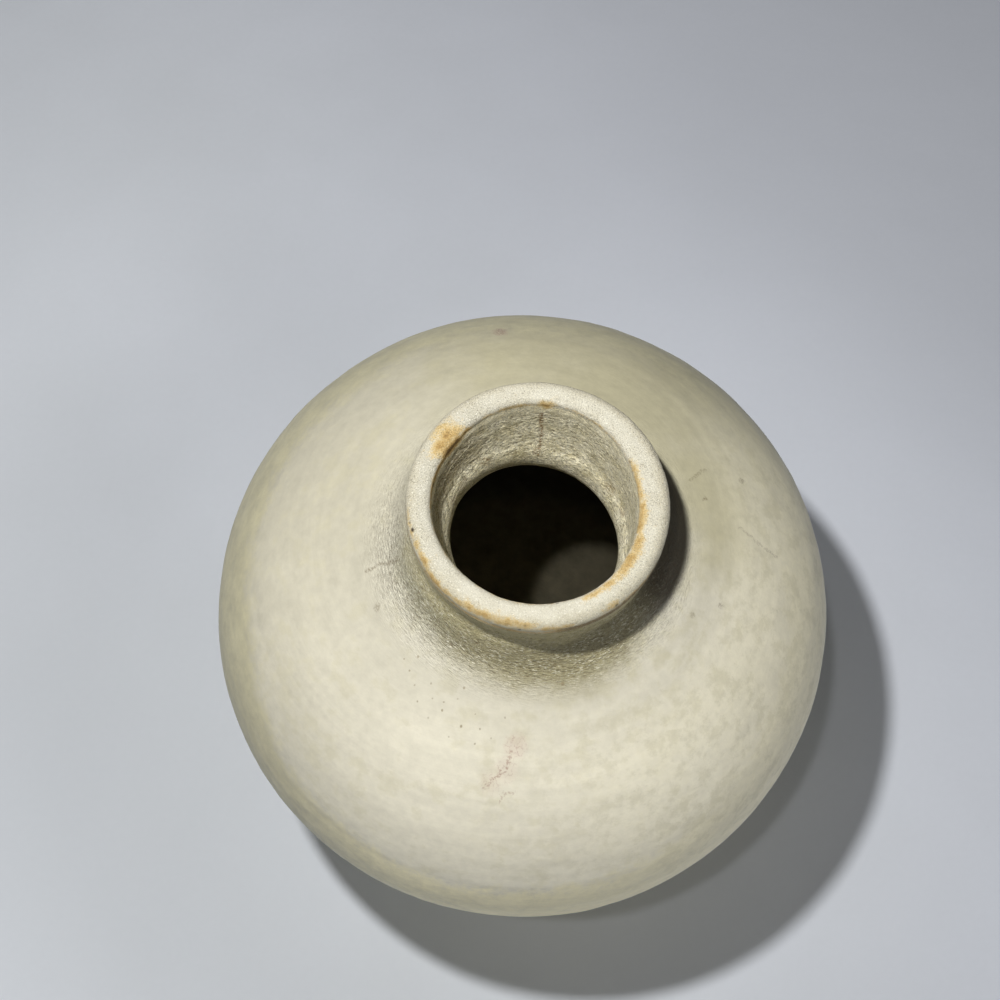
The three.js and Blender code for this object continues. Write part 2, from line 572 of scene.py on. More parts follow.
def around(rings, table, column=1):
    """A column of a table whose rows start with angles, read between the rows."""
    columns = list(zip(*table))
    return np.interp(turn_of(rings), columns[0], columns[column], period=360)


# Degrees on either side of an end over which a band along the lip fades
ARC_SOFTNESS = 6.0


def arc_mark(rings, start, end, radius, height, width):
    """A band along the lip between two angles in degrees, anticlockwise from above."""
    middle, half = (start + end) / 2, (end - start) / 2
    window = near(rings, middle, half - ARC_SOFTNESS, half + ARC_SOFTNESS)
    distance = np.hypot(rings.radius - radius, rings.height - height)
    return window * np.exp(-(distance / width) ** 2)


# Toasted bands of the lip: start and end angle, radius and height of the middle, width, strength
TOASTED = [
    (-170, -150, 14.7, 90.8, 0.45, 0.65), (-154, -137, 14.6, 90.9, 0.6, 0.95),
    (-141, -126, 14.85, 90.5, 0.65, 1.15), (-130, -113, 14.75, 90.6, 0.6, 0.85),
    (-118, -100, 14.65, 90.8, 0.85, 0.9), (-104, -82, 14.65, 90.8, 0.9, 0.9),
    (-85, -66, 14.85, 90.4, 0.55, 0.85), (-52, -45, 14.65, 90.7, 0.6, 1.15),
    (-46, -24, 14.9, 90.1, 0.5, 0.8), (-78, -18, 15.0, 89.6, 0.55, 0.9),
    (6, 33, 12.05, 91.0, 0.65, 1.0), (-14, 9, 12.15, 91.1, 0.8, 1.1),
    (-40, -11, 12.4, 91.3, 0.8, 1.1), (-60, -37, 12.4, 91.3, 0.65, 0.9),
    (142, 164, 12.7, 91.4, 1.15, 1.15), (144, 157, 14.1, 91.3, 0.9, 0.8),
    (145, 162, 11.9, 90.6, 0.85, 1.75), (137, 147, 11.85, 90.7, 0.45, 1.3),
    (158, 192, 11.8, 90.5, 0.5, 1.25), (87.5, 96.5, 11.9, 90.6, 0.75, 1.2),
    (98, 130, 11.9, 90.6, 0.4, 0.8), (36, 82, 11.9, 90.7, 0.35, 0.65),
    (-175, -150, 11.9, 90.7, 0.4, 0.6), (-152, -60, 11.95, 90.8, 0.42, 0.6),
    (-172, -60, 15.0, 89.3, 0.45, 0.85),
]
# Pits in the lip, then stains in the bore: angle, radius, height, size, strength
PITS = [
    (-157.8, 14.5, 91.0, 0.24, 1.0), (-161.5, 14.6, 90.9, 0.14, 0.7),
    (-89.8, 14.9, 90.0, 0.22, 0.9), (-87.6, 14.6, 90.8, 0.13, 0.8),
    (-96.0, 14.8, 90.4, 0.12, 0.7), (32.4, 12.0, 90.9, 0.2, 0.8),
    (-138.0, 14.6, 90.6, 0.16, 0.7), (-104.0, 14.8, 90.4, 0.15, 0.6),
    (-46.0, 14.8, 90.5, 0.22, 0.7), (-42.0, 14.9, 90.2, 0.16, 0.7),
    (-72.0, 12.0, 91.0, 0.18, 0.6), (178.0, 11.8, 90.4, 0.24, 0.9),
]
STAINS = [
    (134.0, 10.8, 82.3, 0.8, 0.9), (95.0, 10.8, 82.2, 0.6, 0.7),
    (36.6, 10.9, 82.9, 0.8, 0.6), (20.0, 10.9, 83.0, 0.7, 0.5),
    (158.0, 10.6, 81.9, 0.9, 0.5), (172.0, 10.5, 81.6, 0.9, 0.5),
]

# Angle and the height at which the olive band starts
OLIVE_EDGE = [
    (-155, 67.7), (-132, 62.6), (-96, 59.7), (-69, 61.2), (-44, 64.4), (-27, 67.7), (-10, 69.9),
    (6, 72.6), (30, 73.5), (75, 71.9), (95, 72.4), (142, 71.4), (180, 68.9),
]

# Angle, the radius where the neck's dark glaze and painted shade start to fade, and where they end
DARK_EDGE = [
    (-170, 11.4, 16.5), (-159, 12.6, 18.1), (-148, 13.2, 18.6), (-136, 14.0, 19.0),
    (-125, 14.6, 19.6), (-114, 15.4, 20.0), (-97, 16.4, 21.0), (-80, 17.0, 21.6),
    (-64, 17.6, 22.4), (-47, 16.8, 21.2), (-30, 15.6, 18.8), (-10, 15.0, 17.8),
    (30, 14.0, 17.0), (70, 12.0, 16.0), (110, 11.5, 15.5), (178, 10.6, 15.6),
]

# Angle and the radius at which the painted shadow on the neck, cast by the lip, ends
PAINTED_SHADOW_EDGE = [
    (-47, 17.45), (-36, 17.63), (-25, 17.95), (-13, 18.31), (-2, 18.59), (8, 18.72), (19, 18.76),
    (29, 18.59), (38, 18.5), (180, 17.5),
]

# Single marks: the angle of the middle, and between how many degrees from it they fade. They are
# the crack and the brown patch of painted shade in the bore, the painted shadow of the lip on the
# neck, and the dark lines of painted shade along the lip's outer edge behind and in front.
BORE_CRACK = (93.8, 0.3, 2.3)
BORE_PAINTED_SHADE = (172, 12, 48)
PAINTED_SHADOW_STRETCH = (13, 28, 54)
LINE_BEHIND = (115, 84, 100)
LINE_AHEAD = (-45, 22, 40)


def flat_place(angle, radius):
    turn = math.radians(angle)
    return (radius * math.cos(turn), radius * math.sin(turn), 0.0)


def toasted(rings):
    total = np.zeros_like(rings.x)
    for *band, strength in TOASTED:
        total = np.maximum(total, strength * arc_mark(rings, *band))
    return total * (rings.height > neck_plane)


def spots(rings, rows):
    """The strongest of several round marks."""
    total = np.zeros_like(rings.x)
    for angle, radius, height, size, strength in rows:
        x, y, _ = flat_place(angle, radius)
        east = rings.radius * np.cos(rings.angle) - x
        north = rings.radius * np.sin(rings.angle) - y
        distance = np.sqrt(east ** 2 + north ** 2 + (rings.height - height) ** 2)
        total = np.maximum(total, strength * (1 - ramp(distance, 0.5 * size, 1.5 * size)))
    return total


def pitted(rings):
    return spots(rings, PITS)


def stains_and_painted_shade(rings):
    """A crack up the back of the bore, painted shade in brown on its left, and small stains."""
    middle, start, end = BORE_CRACK
    wander = 0.5 * np.sin(0.8 * rings.height)
    crack = near(rings, middle + wander, start, end) * ramp(rings.height, *CRACK_START)
    # Painted shade: the bore's left wall, in the key lamp's shadow, darkened in brown
    brown = 0.55 * near(rings, *BORE_PAINTED_SHADE) * ramp(rings.height, *BROWN_START)
    return np.maximum(np.maximum(spots(rings, STAINS), crack), brown) * (rings.kind == "inside")


def hollow(rings):
    return (1 - ramp(rings.height, *HOLLOW_END)) * (rings.kind == "inside")


def wrinkled(rings):
    if rings.kind == "inside":
        return ramp(rings.height, *BORE_STREAKS)
    fading = 1 - 0.3 * ramp(rings.height, *NECK_STREAKS_END)
    return less_behind(rings.angle) * ramp(rings.height, *NECK_STREAKS) * fading


def dark(rings):
    """Thin dark glaze and painted shade round the neck, and faintly dark in the upper bore."""
    if rings.kind == "inside":
        return 0.1 * ramp(rings.height, *DARK_BORE)
    start, end = around(rings, DARK_EDGE, 1), around(rings, DARK_EDGE, 2)
    # Less dark under the lip: painted light on the collar's shade
    thin = (1 - ramp(rings.radius, start, end)) * (1 - 0.15 * ramp(rings.height, *UNDER_LIP))
    return thin * (rings.kind in ("outside", "lip"))


def painted_shadow(rings):
    """Painted shadow: the lip's shadow on the neck deepened in brown, away from the key lamp."""
    edge = around(rings, PAINTED_SHADOW_EDGE)
    outwards = 1 - ramp(rings.radius, edge - 0.35, edge + 0.1)
    there = near(rings, *PAINTED_SHADOW_STRETCH) * outwards
    return there * (rings.height > girth_plane) * (rings.kind == "outside")


def bored(rings):
    """The bore, from the throat up to the rounding of the lip."""
    if rings.kind == "lip":
        return (1 - ramp(rings.height, *COAT_END)) * (rings.radius < mouth_radius + 0.6)
    return ramp(rings.height, *COAT_START) * (rings.kind == "inside")


def edged(rings):
    """A thin dark line along the lip's outer edge behind, and a wider one at the front right.

    Both are painted shade where the rounding turns from the light.
    """
    line = 89.9 + 0.65 * np.clip(np.sin(rings.angle), 0, 1)
    behind = near(rings, *LINE_BEHIND) * np.exp(-((rings.height - line) / 0.26) ** 2)
    ahead = near(rings, *LINE_AHEAD) * (1 - ramp(rings.height, *LINE_AHEAD_END))
    return np.maximum(behind, 0.8 * ahead) * (rings.radius > lip_radius - 0.6)


def olive(rings):
    """The olive band of the body, up to an edge that rises and falls on its way round.

    The band is partly painted shade.
    """
    edge = around(rings, OLIVE_EDGE)
    return (1 - ramp(rings.height, edge - 5.0, edge + 2.0)) * (rings.kind in ("outside", "lip"))


MARKS = {
    mark.__name__: mark
    for mark in (toasted, pitted, stains_and_painted_shade, hollow, wrinkled, dark, painted_shadow, bored, edged, olive)
}


# Materials
def paint(red, green, blue):
    """A display colour from 0 to 255 as the linear colour that shaders take."""
    def linear(value):
        share = value / 255
        return share / 12.92 if share <= 0.04045 else ((share + 0.055) / 1.055) ** 2.4
    return (linear(red), linear(green), linear(blue), 1.0)


class Nodes:
    """The nodes of a material or of the world."""

    def __init__(self, owner):
        owner.use_nodes = True
        self.tree = owner.node_tree
        self.tree.nodes.clear()

    def put(self, socket, value):
        """Links an output to the socket, or sets the socket to a number or colour."""
        if isinstance(value, bpy.types.NodeSocket):
            self.tree.links.new(value, socket)
        elif value is not None:
            socket.default_value = value

    def node(self, kind, *values, **named):
        """A node with values for its inputs, in order and by name."""
        node = self.tree.nodes.new("ShaderNode" + kind)
        for socket, value in zip(node.inputs, values):
            self.put(socket, value)
        for name, value in named.items():
            self.put(node.inputs[name], value)
        return node

    def vector(self, operation, first, second=None, scale=None):
        node = self.node("VectorMath", first, second)
        node.operation = operation
        if scale is not None:
            self.put(node.inputs["Scale"], scale)
        return node.outputs["Value" if operation in ("DISTANCE", "DOT_PRODUCT") else "Vector"]

    def join(self, x, y, z):
        return self.node("CombineXYZ", x, y, z).outputs[0]

    def math(self, operation, first, second=None, clamp=False):
        node = self.node("Math", first, second)
        node.operation = operation
        node.use_clamp = clamp
        return node.outputs[0]

    def plus(self, *values):
        return reduce(partial(self.math, "ADD"), values)

    def times(self, *values):
        return reduce(partial(self.math, "MULTIPLY"), values)

    def highest(self, *values):
        return reduce(partial(self.math, "MAXIMUM"), values)


class Recipe(Nodes):
    """A material, with places in millimetres, noise, painted marks, and a colour to build up."""

    def __init__(self, name):
        self.material = bpy.data.materials.new(name)
        super().__init__(self.material)
        self.colour = None
        self.shader = self.node("BsdfPrincipled")
        self.node("OutputMaterial", self.shader.outputs[0])
        place = self.node("TexCoord").outputs["Object"]
        self.place = self.vector("SCALE", place, scale=1 / MM)
        self.x, self.y, self.z = self.node("SeparateXYZ", self.place).outputs
        squares = self.plus(self.math("POWER", self.x, 2), self.math("POWER", self.y, 2))
        self.radius = self.math("SQRT", squares)

    def stirred(self, value, noise, reach, clamp=False):
        """The value, moved up and down by noise."""
        swing = self.times(self.math("SUBTRACT", noise, 0.5), reach)
        return self.math("ADD", value, swing, clamp)

    def rise(self, value, low, high):
        """0 below low, 1 above high, smooth between them. It falls where high is below low."""
        shares = (0.0, 1.0) if high > low else (1.0, 0.0)
        node = self.node("MapRange", value, min(low, high), max(low, high), *shares)
        node.interpolation_type = "SMOOTHSTEP"
        return node.outputs[0]

    def spread(self, value):
        """Noise, which gathers about its middle, drawn out to the whole range from 0 to 1."""
        return self.node("MapRange", value, 0.3, 0.7, 0.0, 1.0).outputs[0]

    def toward(self, degrees):
        """1 on the side that faces a direction, -1 on the other side."""
        turn = math.radians(degrees)
        along_x = self.times(self.x, math.cos(turn))
        along_y = self.times(self.y, math.sin(turn))
        return self.math("DIVIDE", self.plus(along_x, along_y), self.highest(self.radius, 1.0))

    def noise(self, size, detail=2.0, rough=0.5, warp=0.0, vector=None, colour=False):
        """Cloudy noise from 0 to 1, its features about the size in millimetres."""
        node = self.node(
            "TexNoise",
            Vector=self.place if vector is None else vector,
            Scale=1 / size,
            Detail=detail,
            Roughness=rough,
            Distortion=warp,
        )
        return node.outputs[1] if colour else node.outputs[0]

    def net(self, size, vector):
        """The distance to the nearest edge of a net of cells."""
        node = self.node("TexVoronoi", Vector=vector, Scale=1 / size)
        node.feature = "DISTANCE_TO_EDGE"
        return node.outputs["Distance"]

    def mark(self, name):
        """One of the marks that are painted on the surface."""
        node = self.node("Attribute")
        node.attribute_name = name
        return node.outputs["Fac"]

    def mix(self, share, first, second):
        """The first colour where the share is 0, the second where it is 1."""
        node = self.node("Mix", share)
        node.data_type = "RGBA"
        self.put(node.inputs[6], first)
        self.put(node.inputs[7], second)
        return node.outputs[2]

    def shade(self, colour, share, darkest, lightest):
        """The colour times a factor between two numbers."""
        factor = self.node("MapRange", share, 0.0, 1.0, darkest, lightest).outputs[0]
        return self.vector("SCALE", colour, scale=factor)

    def tint(self, share, colour):
        """Lays a colour over the recipe's own by a share."""
        self.colour = self.mix(share, self.colour, colour)

    def dim(self, share, darkest, lightest):
        """Shades the recipe's own colour."""
        self.colour = self.shade(self.colour, share, darkest, lightest)

    def bump(self, height, depth, normal=None):
        """Relief of a depth in millimetres, from a height of 0 to 1."""
        node = self.node("Bump", Strength=1.0, Distance=depth * MM, Height=height, Normal=normal)
        return node.outputs[0]

    def finish(self, roughness, normal):
        sockets = self.shader.inputs
        self.put(sockets["Base Color"], self.colour)
        self.put(sockets["Roughness"], roughness)
        self.put(sockets["Normal"], normal)
        return self.material


# Angle, radius, half width and strength of the pinholes in the glaze below the neck
PINHOLES = [
    (-102.3, 24.1, 0.15, 0.7), (-108.9, 23.4, 0.14, 0.7), (-105.4, 20.3, 0.13, 0.6),
    (-123.8, 20.1, 0.15, 0.6), (-123.3, 21.8, 0.12, 0.6), (-115.6, 21.5, 0.12, 0.5),
    (-109.4, 22.5, 0.11, 0.6), (-116.4, 23.9, 0.12, 0.6), (-97.0, 23.8, 0.12, 0.6),
    (-90.6, 22.1, 0.12, 0.5), (-97.4, 25.4, 0.12, 0.6), (-71.7, 18.6, 0.2, 0.7),
    (-113.0, 22.8, 0.1, 0.5), (-106.0, 21.6, 0.1, 0.4), (-119.5, 22.7, 0.1, 0.5),
    (-99.5, 22.4, 0.1, 0.4), (-127.0, 21.3, 0.11, 0.5), (-111.5, 24.8, 0.11, 0.4),
    (-104.5, 25.6, 0.1, 0.4), (-93.5, 24.4, 0.1, 0.4),
]
# Angle, radius, half width and strength of small brown spots
SPOTS = [
    (-145.9, 20.4, 0.45, 0.5), (26.9, 28.2, 0.4, 0.5), (21.6, 21.8, 0.35, 0.6),
    (-11.3, 24.0, 0.4, 0.5), (-19.2, 21.3, 0.35, 0.4), (104.6, 31.2, 0.9, 0.7),
]
# Ends as angle and radius, half width and strength of fine cracks
CRACKS = [
    ((-157.9, 16.3), (-159.2, 18.9), 0.34, 0.55), ((-159.2, 18.9), (-159.1, 20.4), 0.26, 0.6),
    ((28.7, 20.8), (31.7, 23.5), 0.28, 0.35), ((13.1, 26.0), (9.6, 28.6), 0.3, 0.3),
    ((9.6, 28.6), (7.9, 31.1), 0.28, 0.3),
]
# Rust-coloured cracks in the same form, and patches like the pinholes that blush round them
STAIN_LINES = [
    ((-87.8, 25.5), (-88.3, 27.3), 0.3, 0.7), ((-88.3, 27.3), (-91.1, 28.5), 0.3, 0.8),
    ((-91.1, 28.5), (-93.4, 29.8), 0.26, 0.6), ((-86.0, 29.5), (-88.0, 29.9), 0.24, 0.5),
    ((-88.8, 29.7), (-89.0, 30.7), 0.22, 0.6),
]
STAIN_PATCHES = [
    (-86.6, 24.9, 1.3, 1.0), (-88.5, 27.5, 1.4, 0.7), (-91.5, 29.0, 1.3, 0.6),
    (104.6, 31.2, 1.0, 1.0),
]


def dots(r, place, rows):
    """The strongest of several round marks, seen from above."""
    found = []
    for angle, radius, size, strength in rows:
        distance = r.vector("DISTANCE", place, flat_place(angle, radius))
        found.append(r.times(r.rise(distance, 1.4 * size, 0.5 * size), strength))
    return r.highest(*found)


def threads(r, place, rows):
    """The strongest of several straight marks, seen from above."""
    found = []
    for start, end, width, strength in rows:
        first, last = Vector(flat_place(*start)), Vector(flat_place(*end))
        run = last - first
        offset = r.vector("SUBTRACT", place, tuple(first))
        reach = r.vector("DOT_PRODUCT", offset, tuple(run))
        share = r.math("MULTIPLY", reach, 1 / run.length_squared, clamp=True)
        distance = r.vector("DISTANCE", offset, r.vector("SCALE", tuple(run), scale=share))
        found.append(r.times(r.rise(distance, width, 0.3 * width), strength))
    return r.highest(*found)


# Colours of the glaze, the marks and the clay
IVORY_LIGHT = paint(230, 224, 203)
IVORY_BRIGHT = paint(240, 233, 206)
IVORY = paint(203, 197, 175)
KHAKI = paint(196, 189, 157)
OLIVE = paint(198, 191, 157)
OLIVE_PALE = paint(236, 227, 188)
GREY_GREEN = paint(158, 153, 125)
NECK_BROWN = paint(156, 148, 114)
# COLLAR is painted light for the shaded collar under the lip in front
COLLAR = paint(184, 174, 128)
PAINTED_SHADOW_BROWN = paint(55, 44, 23)
BORE_CREAM = paint(244, 237, 210)
BORE_OLIVE = paint(204, 194, 156)
GLINT = paint(228, 223, 200)
DEEP_FLOOR = paint(188, 178, 148)
DEEP_WALL = paint(88, 84, 74)
PINHOLE = paint(140, 124, 92)
PINK = paint(216, 190, 174)
RUST = paint(160, 118, 100)
STAIN_AND_SHADE = paint(132, 102, 62)
TOAST_PALE = paint(208, 182, 124)
TOAST = paint(176, 142, 80)
SCORCH = paint(108, 80, 40)
LIP_CLAY = paint(211, 206, 187)
LIP_GREY = paint(201, 195, 174)
LIP_PALE = paint(234, 230, 215)
LIP_CREAM = paint(206, 196, 165)
FOOT_BROWN = paint(196, 180, 148)
FOOT_PALE = paint(214, 200, 170)
SPECK = paint(104, 86, 58)
PIT = paint(52, 40, 26)

# The radius at which the wrinkles of the glaze are drawn in their true size
WRINKLE_RADIUS = 14.0


def wrinkles(r):
    """Noise in long, thin streaks round the neck and the bore: a wide one and a fine one."""
    inward = r.math("DIVIDE", WRINKLE_RADIUS, r.highest(r.radius, 1.0))
    climb = r.plus(r.times(r.z, 3.0), r.times(r.radius, -1.6), r.times(r.x, 0.4))
    place = r.join(r.times(r.x, inward), r.times(r.y, inward), climb)
    wide = r.noise(0.8, detail=3, rough=0.65, warp=0.7, vector=place)
    fine = r.noise(0.4, detail=2, rough=0.65, warp=0.3, vector=place)
    return wide, fine


def bore_coat(r):
    """The glaze in the bore: cream, with olive patches."""
    patches = r.spread(r.noise(1.9, detail=4, rough=0.62, warp=0.5))
    return r.mix(patches, BORE_OLIVE, BORE_CREAM)


def glaze(name):
    """Satin glaze: ivory on the body, grey-green and wrinkled on the neck, none in the hollow.
    Painted light and shade are laid into its colour.
    """
    r = Recipe(name)
    tilted_radius = r.plus(r.radius, r.times(r.x, 0.1))
    tilted_height = r.plus(r.z, r.times(r.y, 0.1))
    ring_place = r.join(tilted_radius, tilted_height, r.times(r.x, 0.05))
    clouds = r.noise(9.0, detail=5, rough=0.55, warp=0.4)
    patches = r.noise(2.6, detail=4, rough=0.6)
    flecks = r.noise(1.1, detail=4, rough=0.6)
    streaks = r.noise(1.4, detail=3, rough=0.55, vector=ring_place)
    grain = r.noise(0.5, detail=3, rough=0.6)
    in_dark = r.mark("dark")
    wrinkled = r.mark("wrinkled")
    glazed = r.math("SUBTRACT", 1.0, r.mark("hollow"))

    # Painted light and shade: the front pale, the left greyer and the back khaki, as the light
    # falls
    khaki_back = r.stirred(r.toward(65), clouds, 1.4)
    pale = r.stirred(r.toward(-55), patches, 0.9)
    r.colour = r.mix(r.rise(pale, -0.9, 0.7), IVORY, IVORY_LIGHT)
    r.tint(r.rise(khaki_back, 0.0, 1.1), KHAKI)
    blotches = r.rise(r.plus(patches, r.times(clouds, 0.6)), 0.8, 1.0)
    r.tint(r.times(blotches, 0.35), KHAKI)

    # The olive band that starts below the shoulder: partly the glaze's own tone and partly painted
    # shade, and paler in front and on the right as painted light
    mottling = r.noise(3.0, detail=5, rough=0.72)
    olive_share = r.stirred(r.mark("olive"), mottling, 1.6)
    olive_tone = r.mix(r.rise(r.toward(-50), -0.2, 0.7), OLIVE, OLIVE_PALE)
    r.tint(r.times(r.rise(olive_share, 0.2, 0.9), 0.9), olive_tone)
    mottled = r.shade(r.colour, r.spread(mottling), 0.87, 1.13)
    r.tint(r.rise(r.mark("olive"), 0.0, 0.5), mottled)

    # Painted shade below the neck in front, painted light on the right and in front, smudged on the
    # right
    shade_by_neck = r.times(r.rise(r.radius, 31.0, 18.0), r.rise(r.toward(-85), -0.5, 0.5))
    r.dim(r.times(shade_by_neck, r.rise(r.z, 60.0, 66.0)), 1.0, 0.82)
    light_on_right = r.times(r.rise(r.toward(-10), 0.3, 0.95), r.rise(r.radius, 21.0, 30.0))
    r.tint(r.times(light_on_right, 0.75), IVORY_BRIGHT)
    light_in_front = r.times(r.rise(r.toward(-88), 0.7, 1.0), r.rise(r.radius, 20.0, 27.0))
    r.dim(light_in_front, 1.0, 1.08)
    smudges = r.times(r.rise(mottling, 0.46, 0.62), r.rise(r.toward(10), -0.5, 0.6), 0.36)
    r.tint(smudges, KHAKI)
    r.tint(r.mark("bored"), bore_coat(r))
    r.dim(streaks, 0.93, 1.07)
    r.dim(r.spread(patches), 0.965, 1.035)
    r.dim(r.spread(flecks), 0.955, 1.045)

    # Thin and dark round the neck, partly painted shade, with painted glints on the wrinkles
    wide_wrinkles, fine_wrinkles = wrinkles(r)
    salt = r.noise(0.2, detail=3, rough=0.7)
    edge_room = r.times(in_dark, r.math("SUBTRACT", 1.0, in_dark), 1.3)
    edge_noise = r.spread(r.noise(1.6, detail=3, rough=0.55))
    dark_share = r.stirred(in_dark, edge_noise, edge_room, clamp=True)
    lively = r.math("SUBTRACT", wrinkled, r.times(r.mark("painted_shadow"), 0.75), clamp=True)
    neck_tone = r.mix(r.rise(r.toward(-60), -0.1, 0.9), GREY_GREEN, NECK_BROWN)
    # Painted light: the collar under the lip in front painted lighter and yellower against its
    # shade
    light_under_lip = r.times(r.rise(r.z, *UNDER_LIP), r.rise(r.toward(-90), -0.2, 0.6))
    r.tint(dark_share, r.mix(light_under_lip, neck_tone, COLLAR))
    # Painted shadow: the lip's shadow on the neck deepened in brown
    r.tint(r.times(r.mark("painted_shadow"), 0.85), PAINTED_SHADOW_BROWN)
    # Painted shade and highlights: wrinkle hollows darker and crests lighter along the bump, with
    # painted glints and dark specks
    r.tint(wrinkled, r.shade(r.colour, r.spread(wide_wrinkles), 0.8, 1.2))
    r.tint(r.mark("bored"), r.shade(r.colour, r.spread(wide_wrinkles), 0.82, 1.18))
    glint_patches = r.rise(r.noise(1.3, detail=2), 0.36, 0.56)
    glints = r.times(lively, r.rise(fine_wrinkles, 0.55, 0.66), glint_patches)
    r.tint(r.times(glints, 0.9), GLINT)
    r.tint(r.times(wrinkled, r.rise(fine_wrinkles, 0.46, 0.34), 0.6), SPECK)
    salted = r.shade(r.colour, r.spread(r.noise(0.15, detail=1, rough=0.6)), 0.8, 1.2)
    r.tint(r.highest(wrinkled, r.times(dark_share, 0.5)), salted)

    # Single marks, seen from above and with edges that noise makes uneven
    centred = r.vector("SUBTRACT", r.noise(0.8, detail=2, colour=True), (0.5, 0.5, 0.5))
    wander = r.vector("MULTIPLY", centred, (0.9, 0.9, 0.0))
    flat = r.join(r.x, r.y, 0.0)
    loose = r.vector("ADD", flat, wander)
    close = r.vector("ADD", flat, r.vector("SCALE", wander, scale=0.25))
    r.tint(r.times(dots(r, close, PINHOLES), glazed), PINHOLE)
    browned = r.highest(dots(r, loose, SPOTS), threads(r, loose, CRACKS))
    browned = r.times(browned, r.rise(salt, 0.35, 0.6))
    r.tint(r.times(browned, glazed), SPECK)
    blush = dots(r, loose, STAIN_PATCHES)
    r.tint(r.times(blush, glazed, 0.28), PINK)
    broken = r.rise(r.noise(0.35, detail=3, rough=0.7), 0.42, 0.6)
    crackle = r.rise(r.net(0.8, loose), 0.09, 0.02)
    rusty = r.highest(threads(r, loose, STAIN_LINES), r.times(crackle, blush, 0.5))
    r.tint(r.times(rusty, broken, glazed, 0.75), RUST)
    # Stains, and the painted shade on the bore's left wall
    r.tint(r.times(r.mark("stains_and_painted_shade"), r.rise(broken, 0.0, 0.7), 0.8), STAIN_AND_SHADE)
    r.tint(r.times(r.mark("toasted"), r.rise(salt, 0.3, 0.6)), SCORCH)
    # Painted shade in the hollow: its walls painted dark so that it stays black, its floor paler
    deep = r.mix(r.rise(r.z, 22.0, 12.0), DEEP_WALL, DEEP_FLOOR)
    r.tint(r.mark("hollow"), r.shade(deep, r.spread(patches), 0.8, 1.15))

    relief = r.plus(
        r.times(grain, 0.02),
        r.times(streaks, 0.035),
        r.times(r.spread(wide_wrinkles), wrinkled, 0.11),
        r.times(r.spread(fine_wrinkles), wrinkled, 0.06),
    )
    roughness = r.plus(r.times(patches, 0.2), 0.36)
    roughness = r.math("SUBTRACT", roughness, r.times(r.highest(wrinkled, dark_share), 0.2))
    roughness = r.math("ADD", roughness, r.times(r.mark("hollow"), 0.35), clamp=True)
    roughness = r.math("ADD", roughness, r.times(r.mark("painted_shadow"), 0.25), clamp=True)
    r.put(r.shader.inputs["Specular IOR Level"], 0.3)
    return r.finish(roughness, r.bump(relief, 1.0))


def lip_clay():
    """Bare, sandy clay: pale grains and dark specks, toasted in bands along its edges."""
    r = Recipe("lip_clay")
    clouds = r.noise(2.4, detail=3, rough=0.6)
    grain = r.noise(0.22, detail=3, rough=0.7)
    fine = r.noise(0.14, detail=2, rough=0.65)
    sand = r.noise(0.15, detail=1, rough=0.5, vector=r.vector("ADD", r.place, (7.0, 3.0, 5.0)))
    r.colour = r.mix(r.rise(clouds, 0.3, 0.7), LIP_GREY, LIP_CLAY)
    # Painted shade: the lip darker on its left, nearest the key lamp
    r.dim(r.rise(r.toward(0), -1.0, -0.1), 0.87, 1.01)
    r.tint(r.times(r.rise(r.radius, 13.2, 14.6), 0.45), LIP_CREAM)
    wide_wrinkles, fine_wrinkles = wrinkles(r)
    coat = r.shade(bore_coat(r), r.spread(wide_wrinkles), 0.7, 1.2)
    coat = r.shade(coat, r.spread(fine_wrinkles), 0.8, 1.2)
    coated = r.stirred(r.mark("bored"), grain, 1.2)
    r.tint(r.rise(coated, 0.3, 0.7), coat)
    blotches = r.noise(0.9, detail=4, rough=0.65)
    toast = r.stirred(r.stirred(r.mark("toasted"), grain, 0.9), blotches, 1.6)
    r.tint(r.times(r.rise(toast, 0.2, 0.85), 0.85), TOAST_PALE)
    r.tint(r.times(r.rise(toast, 0.65, 1.25), 0.85), TOAST)
    r.tint(r.times(r.rise(toast, 1.1, 1.7), 0.9), SCORCH)
    sandy = r.rise(r.toward(90), -1.6, -0.3)
    untoasted = r.rise(toast, 1.0, 0.2)
    uncoated = r.rise(coated, 0.7, 0.3)
    pale_grains = r.times(r.rise(sand, 0.56, 0.7), untoasted, uncoated, 0.7)
    r.tint(pale_grains, LIP_PALE)
    dark_grains = r.rise(r.plus(fine, r.times(clouds, 0.25)), 0.525, 0.42)
    r.tint(r.times(dark_grains, sandy, 0.62), SPECK)
    r.tint(sandy, r.shade(r.colour, r.spread(fine), 0.76, 1.24))
    # Painted shade along the lip's outer edge
    edge = r.stirred(r.mark("edged"), grain, 1.2)
    r.tint(r.times(r.rise(edge, 0.35, 0.9), 0.8), SPECK)
    r.tint(r.mark("pitted"), PIT)
    relief = r.plus(r.times(r.spread(grain), 0.04), r.times(r.spread(fine), 0.024))
    roughness = r.plus(r.times(grain, 0.2), 0.7)
    return r.finish(roughness, r.bump(relief, 1.0))


def foot_clay():
    """Bare clay, turned smooth, with lines that run round the ring."""
    r = Recipe("foot_clay")
    clouds = r.noise(4.0, detail=4, rough=0.6)
    grain = r.noise(0.35, detail=3, rough=0.7)
    turning = r.noise(0.8, detail=3, vector=r.join(r.radius, r.z, 0.0))
    r.colour = r.mix(r.rise(clouds, 0.35, 0.65), FOOT_BROWN, FOOT_PALE)
    r.dim(grain, 0.88, 1.12)
    r.dim(turning, 0.93, 1.07)
    dark_grains = r.rise(r.plus(grain, r.times(clouds, 0.3)), 0.5, 0.4)
    r.tint(r.times(dark_grains, 0.5), SPECK)
    normal = r.bump(turning, 0.05, r.bump(grain, 0.05))
    return r.finish(r.plus(r.times(grain, 0.2), 0.75), normal)


